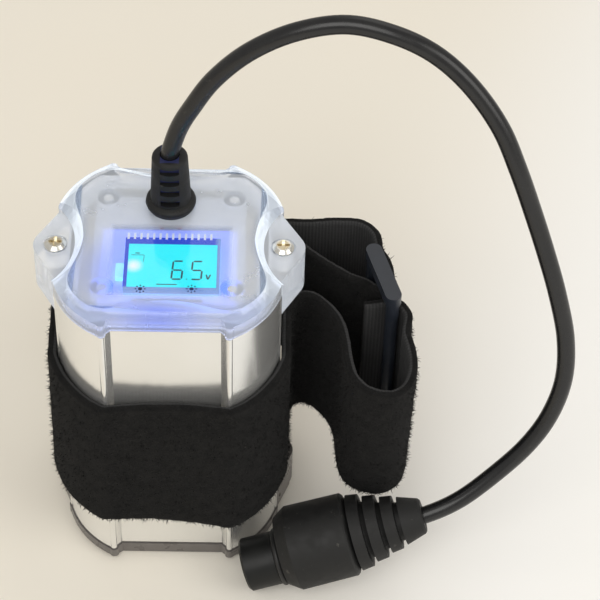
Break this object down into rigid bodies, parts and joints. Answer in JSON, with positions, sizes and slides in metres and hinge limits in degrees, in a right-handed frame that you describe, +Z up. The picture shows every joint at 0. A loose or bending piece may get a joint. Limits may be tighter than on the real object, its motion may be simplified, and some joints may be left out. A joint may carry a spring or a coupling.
{
  "type": "cap lamp battery pack",
  "caption": "Strap-on battery pack for a cap lamp: lobed aluminium case, clear caps over a lit voltage display, a plug on a short lead and a hook-and-loop strap with a ring.",
  "frame": {"origin": "middle of the lower cap's underside, on the case axis", "axes": "+Z up along the case axis, -Y towards the front with the display's lower edge, +X to the strap ring's side"},
  "size_m": [0.1095, 0.0611, 0.1273],
  "materials": {
    "anodised": "satin anodised",
    "frosted_clear": "frosted clear polycarbonate",
    "smoked_clear": "clear polycarbonate, in shade",
    "clear_silicone": "soft clear silicone",
    "screw_steel": "nickel plated",
    "cell_wrap": "shrink wrap",
    "sleeve_blue": "shrink sleeve",
    "nickel": "bright strip",
    "card": "insulating card",
    "foam": "closed cell foam",
    "board_mask": "pale solder mask",
    "chip_black": "moulded",
    "light_plate": "diffuser",
    "led_white": "lit",
    "lcd": "backlit display",
    "pin_tin": "tinned",
    "pad_copper": "plated copper",
    "soft_black": "matt moulded",
    "core_wire": "insulated wire",
    "lead_black": "smooth jacket",
    "plug_hard": "moulded",
    "contact_brass": "plated",
    "seal_rubber": "O-ring",
    "strap_pile": "hook-and-loop pile",
    "ring_black": "moulded"
  },
  "bodies": {
    "pack": {"case_extrusion": "anodised", "top_cap": "frosted_clear", "bottom_cap": "smoked_clear", "top_gasket": "clear_silicone", "bottom_gasket": "clear_silicone", "top_screws": "screw_steel", "bottom_screws": "screw_steel", "cell_1": "cell_wrap", "cell_2": "cell_wrap", "cell_3": "cell_wrap", "cell_4": "cell_wrap", "pack_sleeve": "sleeve_blue", "positive_strip": "nickel", "negative_strip": "nickel", "series_strip": "nickel", "insulator_card": "card", "foam_pad": "foam", "display_board": "board_mask", "board_parts": "chip_black", "board_screws": "screw_steel", "backlight_plate": "light_plate", "backlight_led": "led_white", "lcd_glass": "lcd", "lcd_pins": "pin_tin", "touch_pad": "pad_copper", "strain_relief": "soft_black", "lead_cores": "core_wire", "lead": "lead_black", "plug_boot": "soft_black", "plug_insert": "plug_hard", "plug_pin": "contact_brass", "plug_leaf": "contact_brass", "plug_seal": "seal_rubber", "strap_wrap": "strap_pile", "strap_loop": "strap_pile", "strap_tail": "strap_pile"},
    "ring": {"strap_ring": "ring_black"}
  },
  "joints": [
    {"name": "ring_swivel", "type": "hinge", "parent": "pack", "child": "ring", "pos_m": [0.04199, 0.01369, 0.04], "axis": [0, 0, -1], "range_deg": [0, 10]}
  ]
}
